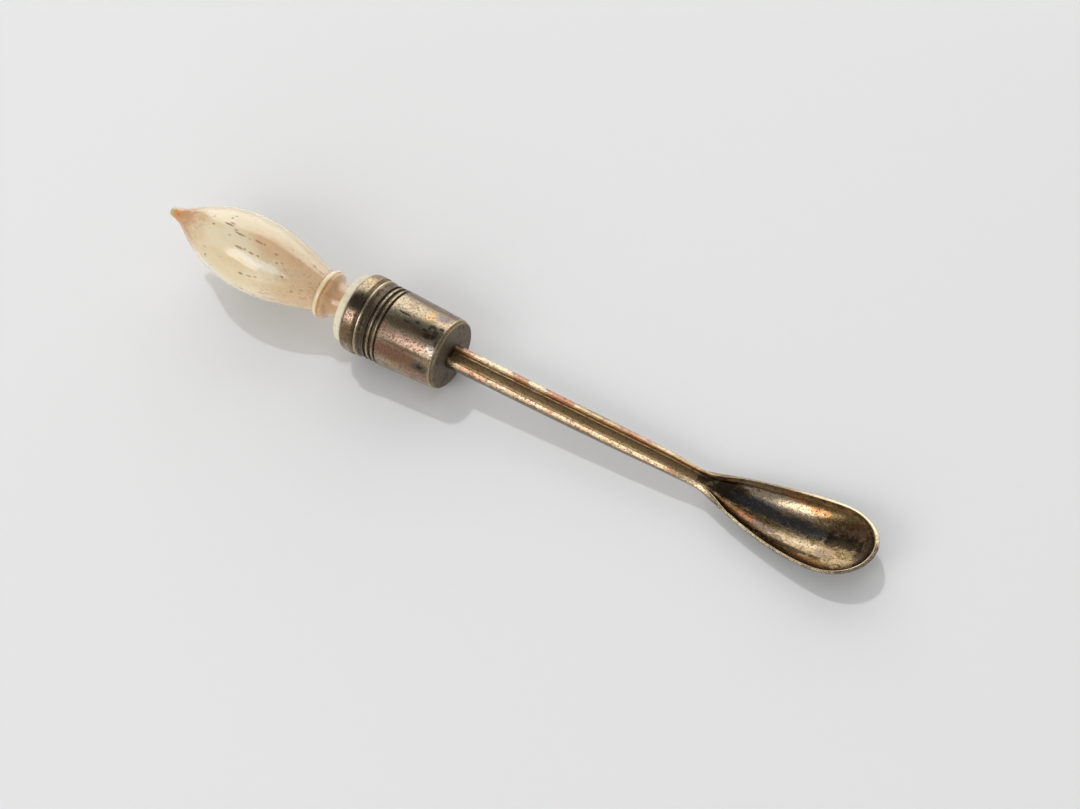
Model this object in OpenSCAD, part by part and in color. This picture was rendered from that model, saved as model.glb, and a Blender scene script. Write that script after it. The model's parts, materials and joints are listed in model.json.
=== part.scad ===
// Snuff spoon: a turned bone finial, a bone plug, a ringed metal collar with a
// soldered end plate, and a channelled stem that opens into a hollow bowl.
// It lies on its collar and on the belly of its bowl, bowl towards +X, top +Z.
// The finial has warped a little with age, so it leans up and to one side.

/* [Collar] */
// Length of the collar's tube, mouth to soldered end
collar_len = 11.1; // [8:0.1:16]
// How far the plain band at the mouth stands out beyond the barrel
band_proud = 0.16; // [0.06:0.01:0.8]
// Width of the plain band
band_w = 1; // [0.4:0.05:2]
// Radius of the rounding at the mouth
mouth_round = 0.4; // [0.1:0.05:0.4]
// Depth of the turned groove behind the band
groove_d = 0.22; // [0.08:0.02:0.32]
// Width of that groove
groove_w = 0.45; // [0.2:0.05:0.8]
// Width of the narrow ridge after the groove
ridge_w = 0.22; // [0.1:0.02:0.5]
// How much lower the ridge is than the band
ridge_drop = 0.05; // [0:0.01:0.08]
// Width of the broad hollow ring
cove_w = 0.95; // [0.5:0.05:1.5]
// How deep the broad ring is hollowed
cove_d = 0.16; // [0.05:0.01:0.25]
// Radius of each bead's own section
bead_r = 0.21; // [0.12:0.01:0.28]
// Number of beads
bead_count = 2; // [1:1:4]
// Width of the fine groove on each side of a bead
bead_gap = 0.22; // [0.1:0.01:0.4]
// Radius of the barrel where it starts
barrel_r = 4.2; // [4.08:0.01:4.28]
// Radius of the barrel at the soldered end
barrel_end_r = 3.92; // [3.8:0.02:4.16]
// Radius of the rounding at the soldered end
end_round = 0.18; // [0.05:0.01:0.24]
// Wall of the barrel behind the beads, outside the straight bore
bore_wall = 0.4; // [0.32:0.01:0.8]
// Wall of the barrel at the soldered end
end_wall = 0.38; // [0.28:0.01:0.7]

/* [End plate] */
// Thickness of the plate outside the tube
plate_t = 0.35; // [0.2:0.05:1]
// Step between the barrel's rounding and the plate's edge
plate_step = 0.03; // [0:0.01:0.06]
// Length of the plate's spigot inside the tube
spigot_len = 0.6; // [0.3:0.1:2]
// Bevel at the plate's edge
plate_bevel = 0.08; // [0.02:0.01:0.15]

/* [Plug] */
// Height of the plug outside the mouth
plug_proud = 1; // [0.5:0.1:3]
// Depth of the plug inside the collar
plug_depth = 3.4; // [2:0.1:4.4]
// Rounding at the plug's outer edge
plug_round = 0.15; // [0.1:0.05:0.4]
// Gap between pieces that are pressed or cemented together
fit = 0.02; // [0.01:0.005:0.04]

/* [Finial] */
// Length of the finial outside the plug
finial_len = 23.4; // [16:0.1:34]
// Largest radius of the finial's body
finial_r = 4.15; // [3:0.05:5]
// Radius of the small nib at the tip, where it joins the body
nib_r = 0.78; // [0.6:0.01:1.1]
// Radius of the nib's blunt end
nib_end_r = 0.55; // [0.3:0.01:0.6]
// Length of the nib
nib_len = 1; // [0.6:0.05:2]
// Radius of the body where it meets the flange
shoulder_r = 2.33; // [2:0.01:2.6]
// Radius of the turned flange
flange_r = 2.76; // [2.6:0.02:3.4]
// Thickness of the flange
flange_t = 1.25; // [0.7:0.05:1.6]
// Smallest radius of the neck
neck_r = 1.93; // [1.5:0.01:2.1]
// Radius of the flared foot on the plug
foot_r = 2.3; // [2:0.05:2.8]
// Length of the neck and foot together
neck_len = 2.4; // [1.8:0.1:4]
// How far the finial leans from the collar's line
finial_lean = 4.1; // [0:0.1:5]
// Which way it leans, from straight up to the side
lean_side = 9; // [-10:1:10]
// Radius of the tenon in the plug
tenon_r = 1.3; // [0.8:0.05:1.6]
// Length of the tenon
tenon_len = 2.8; // [1:0.1:4]

/* [Stem] */
// Length of the stem, end plate to the first widening of the bowl
stem_len = 30.4; // [20:0.2:50]
// Width of the stem at the collar
stem_w = 2.48; // [1.9:0.02:3]
// Width of the stem at the bowl
stem_w_end = 1.9; // [1.7:0.02:2.6]
// Height of the stem at the collar
stem_h = 1.52; // [1.2:0.02:2]
// Height of the stem at the bowl
stem_h_end = 1.1; // [0.9:0.02:1.6]
// Width of the channel between the two rails
channel_w = 1.02; // [0.7:0.02:1.3]
// Depth of the channel below the rails
channel_d = 0.5; // [0.35:0.01:0.6]
// Height of the rails' rounded tops
rail_round = 0.3; // [0.1:0.01:0.32]
// How far the stem sags from a straight line at its middle
stem_sag = 0.14; // [0:0.01:0.6]
// Radius of the round tang that goes through the end plate
tang_r = 0.42; // [0.3:0.01:0.45]
// Length of the tang beyond the plate's spigot
tang_over = 0.4; // [0.2:0.1:1]

/* [Bowl] */
// Largest half width of the bowl, at its rim
bowl_half_w = 3.9; // [2.6:0.05:6]
// Length of the bowl from its first widening to its widest place
bowl_front = 14; // [9:0.2:22]
// Length of the bowl from its widest place to its tip
bowl_back = 5.5; // [3.5:0.1:9]
// Depth of the bowl outside, rim to belly
bowl_depth = 2.52; // [1.9:0.02:3.6]
// How far before the widest place the bowl is deepest
deepest_before = 4; // [1:0.1:6]
// How far the rim rises at the tip above the collar's line
tip_rise = 2.45; // [0.5:0.05:4]
// How far before the tip the rim starts to rise
rise_len = 13.6; // [8:0.1:18]
// Width of the flat rim along the sides
rim_w = 0.3; // [0.2:0.01:0.5]
// Width of the flat rim at the tip
rim_tip_w = 0.55; // [0.3:0.01:0.8]
// Wall of the bowl at its deepest place
bowl_wall = 0.4; // [0.25:0.01:0.6]

/* [Hidden] */
$fn = 96;
cut_over = 1;

bone_tint = [0.88, 0.8, 0.66];
plug_tint = [0.83, 0.82, 0.74];
metal_tint = [0.52, 0.46, 0.37];
gilt_tint = [0.66, 0.52, 0.32];

// Places along the collar's line, zero at the mouth
groove_at = mouth_round + band_w;
ridge_at = groove_at + groove_w;
cove_at = ridge_at + ridge_w;
beads_at = cove_at + cove_w;
bead_pitch = 2 * bead_r + bead_gap;
barrel_at = beads_at + bead_count * bead_pitch + bead_gap;
face_at = collar_len + plate_t;
bowl_at = face_at + stem_len;
widest_at = bowl_at + bowl_front;
tip_at = widest_at + bowl_back;
inner_tip_at = tip_at - rim_tip_w;
deepest_at = widest_at - deepest_before;
tang_at = collar_len - spigot_len - tang_over;

// Radii that follow from the ones above
band_r = barrel_r + band_proud;
ridge_r = band_r - ridge_drop;
bead_base = barrel_r - bead_r;
barrel_in = barrel_end_r - end_wall;
bore_r = barrel_r - bore_wall;
plate_r = barrel_end_r - end_round - plate_step;
plug_r = bore_r - fit;

// The tang is centred in the metal below the channel
tang_low = -channel_d / 2;
tang_hole_r = tang_r + fit;

function mix(a, b, t) = a + (b - a) * t;
function eased(t) = let (u = min(1, max(0, t))) u * u * (3 - 2 * u);
function larger(a, b, soft) = (a + b + sqrt((a - b) * (a - b) + soft * soft)) / 2;
function cubic(a, b, c, d, t) =
    a * pow(1 - t, 3) + b * 3 * t * pow(1 - t, 2) + c * 3 * t * t * (1 - t) + d * pow(t, 3);
curve_steps = 14;
function curve_points(a, b, c, d, first) =
    [for (i = [first : curve_steps]) cubic(a, b, c, d, i / curve_steps)];
arc_steps = 6;
function arc_points(centre, r, a0, a1) =
    [for (i = [0 : arc_steps]) let (a = mix(a0, a1, i / arc_steps)) centre + r * [cos(a), sin(a)]];

// Rules of the stem and the bowl, each by the place x along the collar's line
leaf_power = 1.75;
leaf_over = 2.8;
belly_over = 2;
corner_soft = 0.3;
settle_before = 6;
settle_len = 9;
settle_from = bowl_at - settle_before;
open_before = 1.5;
open_len = 5;
open_from = bowl_at - open_before;
rise_at = tip_at - rise_len;
bowl_rail = 0.03;
stem_square = 0.42;
stem_draw = 4;

function opened(x) = eased((x - open_from) / open_len);
function stem_share(x) = min(1, max(0, (x - face_at) / stem_len));
function drawn_in(x) = pow(stem_share(x), stem_draw);
function stem_half(x) = mix(stem_w, stem_w_end, drawn_in(x)) / 2;
function stem_high(x) = mix(stem_h, stem_h_end, drawn_in(x));
function swell(x, centre, front, back) =
    x < centre
        ? 1 - pow((centre - x) / front, leaf_power)
        : sqrt(max(0, 1 - pow((x - centre) / back, 2)));
function leaf(x, back) = swell(x, widest_at, bowl_front + leaf_over, back);
function belly(x, back) = swell(x, deepest_at, bowl_front - deepest_before + leaf_over + belly_over, back);

function outer_half(x) =
    let (share = leaf(x, bowl_back))
    x < widest_at
        ? larger(stem_half(x), bowl_half_w * share, corner_soft * (1 - share))
        : bowl_half_w * share;
function outer_depth(x) =
    let (share = belly(x, tip_at - deepest_at))
    x < deepest_at
        ? larger(stem_high(x), bowl_depth * share, corner_soft * (1 - share))
        : bowl_depth * share;
function inner_half(x) =
    mix(channel_w / 2, x < widest_at
        ? max(channel_w / 2, outer_half(x) - rim_w)
        : (bowl_half_w - rim_w) * leaf(x, inner_tip_at - widest_at), opened(x));
function inner_depth(x) =
    mix(channel_d, x < deepest_at
        ? max(channel_d, outer_depth(x) - bowl_wall)
        : (bowl_depth - bowl_wall) * belly(x, inner_tip_at - deepest_at), opened(x));
function rim_high(x) =
    mix(stem_high(x) / 2 - stem_sag * sin(180 * stem_share(x)), 0, eased((x - settle_from) / settle_len))
    + tip_rise * pow(max(0, x - rise_at) / rise_len, leaf_power);
function rail_high(x) = mix(rail_round, bowl_rail, opened(x));

// The tilt at which the collar and the belly both touch the ground
rest_rings = [[groove_at, band_r], [barrel_at, barrel_r]];
rest_step = 0.1;
function belly_low(x) = outer_depth(x) - rim_high(x);
function ring_tilt(ring) =
    min([for (x = [bowl_at : rest_step : inner_tip_at]) atan((ring[1] - belly_low(x)) / (x - ring[0]))]);
tilt = max([for (ring = rest_rings) ring_tilt(ring)]);
line_high = max([for (ring = rest_rings) ring[1] * cos(tilt) + ring[0] * sin(tilt)]);
tip_front = tip_at * cos(tilt) + rim_high(tip_at) * sin(tilt);
lean_up = finial_len * sin(finial_lean) * cos(lean_side);
tip_back = (finial_len * cos(finial_lean) + plug_proud) * cos(tilt) - lean_up * sin(tilt);
middle_x = (tip_front - tip_back) / 2;

// Puts what is drawn along +X from the mouth onto the tilted line of the collar
module on_line() {
    translate([-middle_x, 0, line_high]) rotate([0, tilt, 0]) children();
}

// Turns an outline of radius and place about the line
module turned(outline) {
    rotate([0, 90, 0]) rotate_extrude() polygon(outline);
}

// A round bar along the line
module bar(r, from, to) {
    translate([from, 0, 0]) rotate([0, 90, 0]) cylinder(r = r, h = to - from);
}

function bead_outline(k) =
    let (centre = beads_at + bead_gap + bead_r + k * bead_pitch)
    arc_points([bead_base, centre], bead_r, -90, 90);
cove_steps = 8;

module collar() {
    outline = concat(
        [[bore_r, 0]],
        arc_points([band_r - mouth_round, mouth_round], mouth_round, -90, 0),
        [[band_r, groove_at], [band_r - groove_d, groove_at + groove_w / 2]],
        [[ridge_r, ridge_at], [ridge_r, cove_at]],
        [for (i = [0 : cove_steps])
            [barrel_r - cove_d * sin(180 * i / cove_steps), cove_at + cove_w * i / cove_steps]],
        [[bead_base, beads_at]],
        [for (k = [0 : bead_count - 1]) for (p = bead_outline(k)) p],
        [[bead_base, barrel_at - bead_gap / 2], [barrel_r, barrel_at]],
        arc_points([barrel_end_r - end_round, collar_len - end_round], end_round, 0, 90),
        [[barrel_in, collar_len], [bore_r, barrel_at]]
    );
    color(metal_tint) on_line() turned(outline);
}

module end_plate() {
    spigot_r = barrel_in - fit;
    color(metal_tint) on_line() difference() {
        turned([
            [0, collar_len - spigot_len], [spigot_r, collar_len - spigot_len], [spigot_r, collar_len],
            [plate_r, collar_len], [plate_r, face_at - plate_bevel], [plate_r - plate_bevel, face_at],
            [0, face_at]
        ]);
        translate([0, 0, tang_low]) bar(tang_hole_r, tang_at, face_at + cut_over);
    }
}

module plug() {
    color(plug_tint) on_line() difference() {
        turned(concat(
            [[0, plug_depth], [plug_r, plug_depth]],
            arc_points([plug_r - plug_round, plug_round - plug_proud], plug_round, 0, -90),
            [[0, -plug_proud]]
        ));
        bar(tenon_r + fit, -plug_proud - cut_over, tenon_len - plug_proud + fit);
    }
}

// The finial's outline: a blunt nib, two curves that meet at the widest place, a flange and
// a waisted neck with a flared foot. The shares set where the curves' handles lie.
wide_share = 0.53;
tip_spread = 0.12;
tip_reach = 1.25;
front_share = 0.36;
back_share = 0.4;
slim_share = 0.65;
slim_fall = 0.42;
nib_round = 0.2;
flange_edge = 0.12;
flange_arc = [-70, 70];
neck_in = 0.2;
neck_share = [0.35, 0.7];

module finial() {
    neck_at = finial_len - neck_len;
    flange_at = neck_at - flange_t;
    wide_at = mix(nib_len, flange_at, wide_share);
    outline = concat(
        [[0, 0]],
        arc_points([nib_end_r - nib_round, nib_round], nib_round, -90, 0),
        curve_points([nib_r, nib_len], [nib_r + tip_spread, nib_len + tip_reach],
            [finial_r, mix(nib_len, wide_at, front_share)], [finial_r, wide_at], 0),
        curve_points([finial_r, wide_at], [finial_r, mix(wide_at, flange_at, back_share)],
            [mix(shoulder_r, finial_r, slim_fall), mix(wide_at, flange_at, slim_share)],
            [shoulder_r, flange_at], 1),
        arc_points([flange_r - flange_edge, flange_at + flange_t / 2], flange_edge,
            flange_arc[0], flange_arc[1]),
        curve_points([neck_r + neck_in, neck_at], [neck_r, mix(neck_at, finial_len, neck_share[0])],
            [neck_r, mix(neck_at, finial_len, neck_share[1])], [foot_r, finial_len], 0),
        [[foot_r, finial_len + cut_over], [0, finial_len + cut_over]]
    );
    color(bone_tint) on_line() translate([-plug_proud, 0, 0]) {
        intersection() {
            rotate([-lean_side, 0, 0]) rotate([0, finial_lean, 0]) translate([-finial_len, 0, 0]) turned(outline);
            bar(finial_len, -2 * finial_len, 0);
        }
        bar(tenon_r, -neck_len / 2, tenon_len);
    }
}

// The spoon's section at a place: under side from left to right, right rail, upper side
// from right to left, left rail. The under side and the upper side end at their own tips.
under_steps = 14;
rail_steps = 6;
upper_steps = 12;
function squared(v, x) = sign(v) * pow(abs(v), mix(stem_square, 1, opened(x)));
function under_side(x) =
    let (half = outer_half(x), edge = rim_high(x) - rail_high(x), deep = outer_depth(x) - rail_high(x))
    [for (k = [0 : under_steps]) let (a = 180 * k / under_steps)
        [x, -half * squared(cos(a), x), edge - deep * squared(sin(a), x)]];
function upper_side(x) =
    let (half = inner_half(x), edge = rim_high(x) - rail_high(x), deep = inner_depth(x) - rail_high(x))
    [for (k = [0 : upper_steps]) let (a = 180 * k / upper_steps)
        [x, half * squared(cos(a), x), edge - deep * squared(sin(a), x)]];
function rail_point(outer, inner, j) =
    let (a = 180 * j / rail_steps, share = (1 - cos(a)) / 2, p = mix(outer, inner, share))
    [p[0], p[1], p[2] + rail_high(p[0]) * sin(a)];
function section(outer_x, inner_x) =
    let (under = under_side(outer_x), upper = upper_side(inner_x))
    concat(
        under,
        [for (j = [1 : rail_steps - 1]) rail_point(under[under_steps], upper[0], j)],
        upper,
        [for (j = [rail_steps - 1 : -1 : 1]) rail_point(under[0], upper[upper_steps], j)]
    );

// The tang's section is the stem's, drawn in to a circle
tang_centre = [0, 0, tang_low];
function tang_section(x) =
    [for (p = section(face_at, face_at))
        let (d = [0, p[1], p[2]] - tang_centre) [x, 0, 0] + tang_centre + d * tang_r / norm(d)];

stem_stations = 14;
bowl_stations = 30;
function station(last, i) =
    i < stem_stations
        ? mix(face_at, open_from, i / stem_stations)
        : mix(open_from, last, sin(90 * (i - stem_stations) / bowl_stations));

module spoon() {
    rings = concat(
        [tang_section(tang_at), tang_section(face_at)],
        [for (i = [0 : stem_stations + bowl_stations - 1]) section(station(tip_at, i), station(inner_tip_at, i))]
    );
    n = len(rings[0]);
    tip_low = bowl_rail * [0, 0, 1];
    outer_tip = [tip_at, 0, rim_high(tip_at)] - tip_low;
    inner_tip = [inner_tip_at, 0, rim_high(inner_tip_at)] - tip_low;
    tip_line = [for (j = [0 : rail_steps]) rail_point(outer_tip, inner_tip, j)];
    last = len(rings) - 1;
    far_rail = under_steps;
    far_inner = under_steps + rail_steps;
    near_inner = far_inner + upper_steps;
    // Which point of the tip's line each point of the last ring runs to
    function tip_of(m) =
        n * len(rings) + (
            m <= far_rail ? 0
            : m <= far_inner ? m - far_rail
            : m <= near_inner ? rail_steps
            : rail_steps - (m - near_inner));
    sides = [for (i = [0 : last - 1]) for (m = [0 : n - 1])
        let (a = i * n + m, b = i * n + (m + 1) % n) each [[a, a + n, b], [b, a + n, b + n]]];
    ends = [for (m = [0 : n - 1])
        let (a = last * n + m, b = last * n + (m + 1) % n, ta = tip_of(m), tb = tip_of((m + 1) % n))
        each (ta == tb ? [[a, ta, b]] : [[a, ta, b], [b, ta, tb]])];
    color(gilt_tint) on_line() polyhedron(
        points = concat([for (ring = rings) for (p = ring) p], tip_line),
        faces = concat([[for (m = [0 : n - 1]) m]], sides, ends)
    );
}

finial();
plug();
collar();
end_plate();
spoon();
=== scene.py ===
import json
from math import cos, pi, radians, sin, sqrt
import bmesh
import bpy
from mathutils import Matrix, Vector, noise


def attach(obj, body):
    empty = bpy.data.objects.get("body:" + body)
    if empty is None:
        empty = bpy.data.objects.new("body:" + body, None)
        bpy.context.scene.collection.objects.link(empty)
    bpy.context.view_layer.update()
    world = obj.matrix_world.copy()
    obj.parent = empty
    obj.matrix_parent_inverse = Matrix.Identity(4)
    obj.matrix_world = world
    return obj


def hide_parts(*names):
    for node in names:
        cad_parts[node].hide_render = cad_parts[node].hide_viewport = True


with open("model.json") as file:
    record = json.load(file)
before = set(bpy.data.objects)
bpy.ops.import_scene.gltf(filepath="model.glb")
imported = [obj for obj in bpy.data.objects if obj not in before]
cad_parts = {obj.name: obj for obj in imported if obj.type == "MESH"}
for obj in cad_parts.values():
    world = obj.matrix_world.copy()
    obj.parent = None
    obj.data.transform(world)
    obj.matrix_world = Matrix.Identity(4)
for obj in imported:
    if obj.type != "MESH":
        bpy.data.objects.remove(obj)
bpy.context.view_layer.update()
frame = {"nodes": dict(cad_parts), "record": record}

print("frame loaded")

mm = 0.001

# The line that the collar is turned about: mouth at zero, spoon towards +X. The record's
# band gives it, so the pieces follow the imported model.
bandMiddle = 0.9
band = next(m for m in frame["record"]["mounts"] if m["name"] == "band")
lineAxis = Vector(band["axis"]).normalized()
lineTop = Vector((-lineAxis.z, 0, lineAxis.x))
mouth = Vector(band["pos_m"]) - lineAxis * bandMiddle * mm
lineMatrix = Matrix((
    (lineAxis.x, 0, lineTop.x, mouth.x),
    (0, 1, 0, 0),
    (lineAxis.z, 0, lineTop.z, mouth.z),
    (0, 0, 0, 1),
)) @ Matrix.Scale(mm, 4)


def addObject(name, data):
    item = bpy.data.objects.new(name, data)
    bpy.context.scene.collection.objects.link(item)
    return item


# Camera

cameraPlace = {
    "spot": (118.737, -100.71, 270.24),  # millimetres in the part's frame
    "azimuth": 48.88,
    "elevation": 60.27,
    "roll": -19.57,
    "lens": 100,
    "sensor": 36,
    "nearest": 0.01,
    "farthest": 20,
}


def setCamera(place):
    a, e, roll = (radians(place[k]) for k in ("azimuth", "elevation", "roll"))
    back = Vector((sin(a) * cos(e), -cos(a) * cos(e), sin(e)))
    side = Vector((cos(a), sin(a), 0))
    over = Vector((-sin(a) * sin(e), cos(a) * sin(e), cos(e)))
    right = side * cos(roll) + over * sin(roll)
    up = over * cos(roll) - side * sin(roll)
    data = bpy.data.cameras.new("camera")
    data.lens = place["lens"]
    data.sensor_width = place["sensor"]
    data.clip_start, data.clip_end = place["nearest"], place["farthest"]
    camera = addObject("camera", data)
    turn = Matrix((right, up, back)).transposed().to_4x4()
    camera.matrix_world = Matrix.Translation(Vector(place["spot"]) * mm) @ turn
    bpy.context.scene.camera = camera


setCamera(cameraPlace)
print("camera set")


# Node helpers

nodesInRow = 12


def feed(tree, socket, value):
    if isinstance(value, bpy.types.NodeSocket):
        tree.links.new(value, socket)
    else:
        socket.default_value = value


def fill(tree, sockets, values):
    for label, value in values.items():
        feed(tree, sockets[label], value)


def addNode(tree, kind, inputs=None, **settings):
    node = tree.nodes.new(kind)
    row, column = divmod(len(tree.nodes), nodesInRow)
    node.location = (180 * column, -220 * row)
    for name, value in settings.items():
        setattr(node, name, value)
    fill(tree, node.inputs, inputs or {})
    return node


def calc(tree, operation, a, b=0.0):
    return addNode(tree, "ShaderNodeMath", {0: a, 1: b}, operation=operation).outputs[0]


def chain(tree, operation, values):
    total = values[0]
    for value in values[1:]:
        total = calc(tree, operation, total, value)
    return total


def plus(tree, *values):
    return chain(tree, "ADD", values)


def minus(tree, *values):
    return chain(tree, "SUBTRACT", values)


def times(tree, *values):
    return chain(tree, "MULTIPLY", values)


def waver(tree, value, texture, reach):
    # The value, pushed up and down by a texture whose middle is a half
    return plus(tree, value, times(tree, minus(tree, texture, 0.5), reach))


def vectorCalc(tree, operation, a, b):
    return addNode(tree, "ShaderNodeVectorMath", {0: a, 1: b}, operation=operation).outputs[0]


def scaled(tree, place, factor):
    inputs = {0: place, "Scale": factor}
    return addNode(tree, "ShaderNodeVectorMath", inputs, operation="SCALE").outputs[0]


def split(tree, place):
    return addNode(tree, "ShaderNodeSeparateXYZ", {0: place}).outputs


def joined(tree, *values):
    return addNode(tree, "ShaderNodeCombineXYZ", dict(enumerate(values))).outputs[0]


def remap(tree, value, low, high, toLow=0.0, toHigh=1.0):
    return addNode(tree, "ShaderNodeMapRange", {
        "Value": value, "From Min": low, "From Max": high, "To Min": toLow, "To Max": toHigh,
    }, interpolation_type="SMOOTHSTEP").outputs[0]


def mixColor(tree, mask, a, b):
    return addNode(tree, "ShaderNodeMix", {0: mask, 6: a, 7: b}, data_type="RGBA").outputs[2]


def stretched(tree, place, scale, turn=(0, 0, 0)):
    return addNode(tree, "ShaderNodeMapping", {
        "Vector": place, "Scale": scale, "Rotation": [radians(t) for t in turn]}).outputs[0]


def noiseOf(tree, place, scale, detail, roughness=0.5, distortion=0.0):
    return addNode(tree, "ShaderNodeTexNoise", {
        "Vector": place, "Scale": scale, "Detail": detail,
        "Roughness": roughness, "Distortion": distortion}).outputs[0]


def cellsOf(tree, place, scale, low, high):
    # The distance to the middle of each cell, and a mask that picks some of the cells
    cells = addNode(tree, "ShaderNodeTexVoronoi", {"Vector": place, "Scale": scale})
    pick = addNode(tree, "ShaderNodeSeparateColor", {0: cells.outputs["Color"]}).outputs[0]
    return cells.outputs["Distance"], remap(tree, pick, low, high)


def newGroup(name, kind, inputs, outputs):
    group = bpy.data.node_groups.new(name, kind)
    for label, socketKind, value in inputs:
        socket = group.interface.new_socket(label, in_out="INPUT", socket_type=socketKind)
        if value is not None:
            socket.default_value = value
    for label, socketKind in outputs:
        group.interface.new_socket(label, in_out="OUTPUT", socket_type=socketKind)
    given = group.nodes.new("NodeGroupInput").outputs
    return group, given, group.nodes.new("NodeGroupOutput").inputs


number, vector = "NodeSocketFloat", "NodeSocketVector"


# Shader groups that the finishes share

def makeLinePlace():
    # Splits a place in millimetres about a turned piece's axis
    tree, given, out = newGroup("line place", "ShaderNodeTree", [("Place", vector, None)], [
        ("Along", number), ("Side", number), ("Radius", number), ("Unrolled", vector)])
    along, side, up = split(tree, given["Place"])
    turn = calc(tree, "DEGREES", calc(tree, "ARCTAN2", side, up))
    radius = calc(tree, "SQRT", plus(tree, times(tree, side, side), times(tree, up, up)))
    fill(tree, out, {
        "Along": along, "Side": side, "Radius": radius, "Unrolled": joined(tree, along, turn)})
    return tree


def makeSoftSpot():
    # A patch round a centre, with its edge broken up by a noise
    tree, given, out = newGroup("soft spot", "ShaderNodeTree", [
        ("Place", vector, None), ("Centre", vector, None), ("Size", vector, (1, 1, 1)),
        ("Grain", number, 0.5), ("Broken", number, 0.5), ("Softness", number, 0.4)],
        [("Mask", number)])
    away = vectorCalc(tree, "SUBTRACT", given["Place"], given["Centre"])
    away = vectorCalc(tree, "DIVIDE", away, given["Size"])
    length = addNode(tree, "ShaderNodeVectorMath", {0: away}, operation="LENGTH").outputs["Value"]
    reach = waver(tree, length, given["Grain"], given["Broken"])
    soft = given["Softness"]
    mask = remap(tree, reach, plus(tree, 1.0, soft), minus(tree, 1.0, soft))
    fill(tree, out, {"Mask": mask})
    return tree


def makeTarnish():
    # Cloudy stains at two sizes with fine specks in them
    tree, given, out = newGroup("tarnish", "ShaderNodeTree", [
        ("Place", vector, None), ("Cloud Scale", number, 0.6), ("Speck Scale", number, 6.0),
        ("Cover", number, 0.5)], [("Clouds", number), ("Specks", number), ("Fine", number)])
    place, speckScale = given["Place"], given["Speck Scale"]
    clouds = noiseOf(tree, place, given["Cloud Scale"], 4, 0.6, 0.6)
    low = minus(tree, 0.72, times(tree, given["Cover"], 0.45))
    specks = noiseOf(tree, place, speckScale, 3, 0.7)
    fill(tree, out, {
        "Clouds": remap(tree, clouds, low, plus(tree, low, 0.16)),
        "Specks": remap(tree, specks, 0.52, 0.62),
        "Fine": noiseOf(tree, place, times(tree, speckScale, 2.6), 2, 0.6)})
    return tree


def makeScratches():
    # Short fine scratches in two directions and small pits
    tree, given, out = newGroup("scratches", "ShaderNodeTree", [
        ("Place", vector, None), ("Scale", number, 1.0), ("Amount", number, 0.5)],
        [("Scratches", number), ("Pits", number)])
    place, amount = scaled(tree, given["Place"], given["Scale"]), given["Amount"]
    lines = 0.0
    for turn, scale in (((0, 4, 12), (0.9, 16, 16)), ((0, -6, -31), (0.7, 20, 20))):
        line = noiseOf(tree, stretched(tree, place, scale, turn), 1.0, 2)
        lines = calc(tree, "MAXIMUM", lines, remap(tree, line, 0.66, 0.74))
    distance, chosen = cellsOf(tree, place, 2.6, 0.62, 0.7)
    fill(tree, out, {
        "Scratches": times(tree, lines, amount),
        "Pits": times(tree, remap(tree, distance, 0.2, 0.08), chosen, amount)})
    return tree


def makeTurnedLines():
    # Fine rings left by the lathe, with breaks round the piece
    tree, given, out = newGroup("turned lines", "ShaderNodeTree", [
        ("Unrolled", vector, None), ("Spacing", number, 0.12), ("Breaks", number, 0.02)],
        [("Lines", number)])
    parts = split(tree, given["Unrolled"])
    rings = calc(tree, "DIVIDE", parts[0], given["Spacing"])
    place = joined(tree, rings, times(tree, parts[1], given["Breaks"]))
    fill(tree, out, {"Lines": noiseOf(tree, place, 1.0, 3, 0.6)})
    return tree


def makeBonePores():
    # Short dark dashes along the bone's grain
    tree, given, out = newGroup("bone pores", "ShaderNodeTree", [
        ("Place", vector, None), ("Length", number, 1.6), ("Spacing", number, 0.42),
        ("Share", number, 0.3)], [("Pores", number), ("Fibre", number)])
    along, across = (calc(tree, "DIVIDE", 1.0, given[k]) for k in ("Length", "Spacing"))
    place = vectorCalc(tree, "MULTIPLY", given["Place"], joined(tree, along, across, across))
    share = given["Share"]
    distance, chosen = cellsOf(tree, place, 1.0, share, minus(tree, share, 0.06))
    fibre = noiseOf(tree, vectorCalc(tree, "MULTIPLY", place, (0.5, 2.5, 2.5)), 1.0, 3, 0.6)
    fill(tree, out, {
        "Pores": times(tree, chosen, remap(tree, distance, 0.26, 0.12)), "Fibre": fibre})
    return tree


shaderGroups = {
    "line place": makeLinePlace(), "soft spot": makeSoftSpot(), "tarnish": makeTarnish(),
    "scratches": makeScratches(), "turned lines": makeTurnedLines(), "bone pores": makeBonePores(),
}


def useGroup(tree, name, inputs):
    node = addNode(tree, "ShaderNodeGroup")
    node.node_tree = shaderGroups[name]
    fill(tree, node.inputs, inputs)
    return node.outputs


def spotMask(tree, place, centre, reach, grain, broken, softness):
    return useGroup(tree, "soft spot", {
        "Place": place, "Centre": (*centre, 0), "Size": (*reach, 1), "Grain": grain,
        "Broken": broken, "Softness": softness})["Mask"]


def turnedLines(tree, unrolled, spacing, breaks):
    inputs = {"Unrolled": unrolled, "Spacing": spacing, "Breaks": breaks}
    return useGroup(tree, "turned lines", inputs)["Lines"]


def newMaterial(name, matrix):
    # A material, and each point's place in millimetres about the piece's own axis
    material = bpy.data.materials.new(name)
    material.use_nodes = True
    tree = material.node_tree
    move, turn, scale = matrix.decompose()
    coordinates = addNode(tree, "ShaderNodeTexCoord").outputs["Object"]
    place = addNode(tree, "ShaderNodeMapping", {
        "Vector": coordinates, "Location": move, "Rotation": turn.to_euler(), "Scale": scale},
        vector_type="TEXTURE").outputs[0]
    return material, tree, place, useGroup(tree, "line place", {"Place": place})


def setShader(material, values):
    tree = material.node_tree
    shader = next(n for n in tree.nodes if n.type == "BSDF_PRINCIPLED")
    fill(tree, shader.inputs, values)
    return material


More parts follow.
